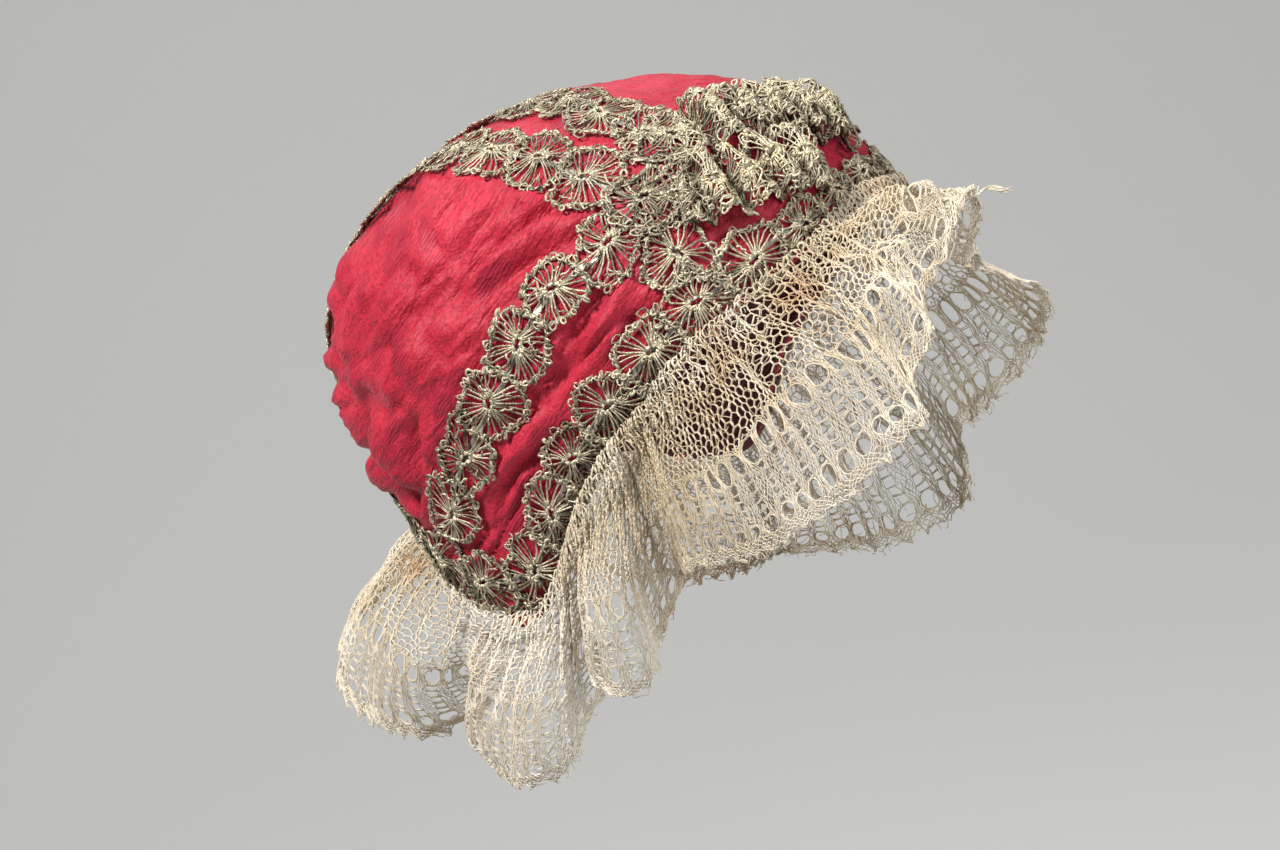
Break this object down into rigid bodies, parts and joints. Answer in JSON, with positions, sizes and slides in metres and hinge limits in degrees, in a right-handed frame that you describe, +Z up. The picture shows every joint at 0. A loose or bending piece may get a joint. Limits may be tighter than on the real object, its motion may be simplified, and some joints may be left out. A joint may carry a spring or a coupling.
{
  "type": "bonnet",
  "caption": "Infant's close silk cap with applied bands of silver rosette lace and a deep gathered lace frill round the face, ears and nape.",
  "frame": {"origin": "inner top of the cap, where it sits on the crown of the head", "axes": "+Z up along the head, -Y towards the face, +X towards the wearer's left"},
  "size_m": [0.1391, 0.2163, 0.1549],
  "materials": {
    "silk": "worn satin damask",
    "silver_lace": "tarnished silver thread",
    "linen_lace": "matt linen thread, aged and stained"
  },
  "bodies": {
    "root": {"silk_cap": "silk", "lace_frill": "linen_lace", "rim_band": "silver_lace", "seam_band_right": "silver_lace", "seam_band_left": "silver_lace", "side_band_right": "silver_lace", "side_band_left": "silver_lace", "link_band_right": "silver_lace", "link_band_left": "silver_lace"}
  },
  "joints": []
}
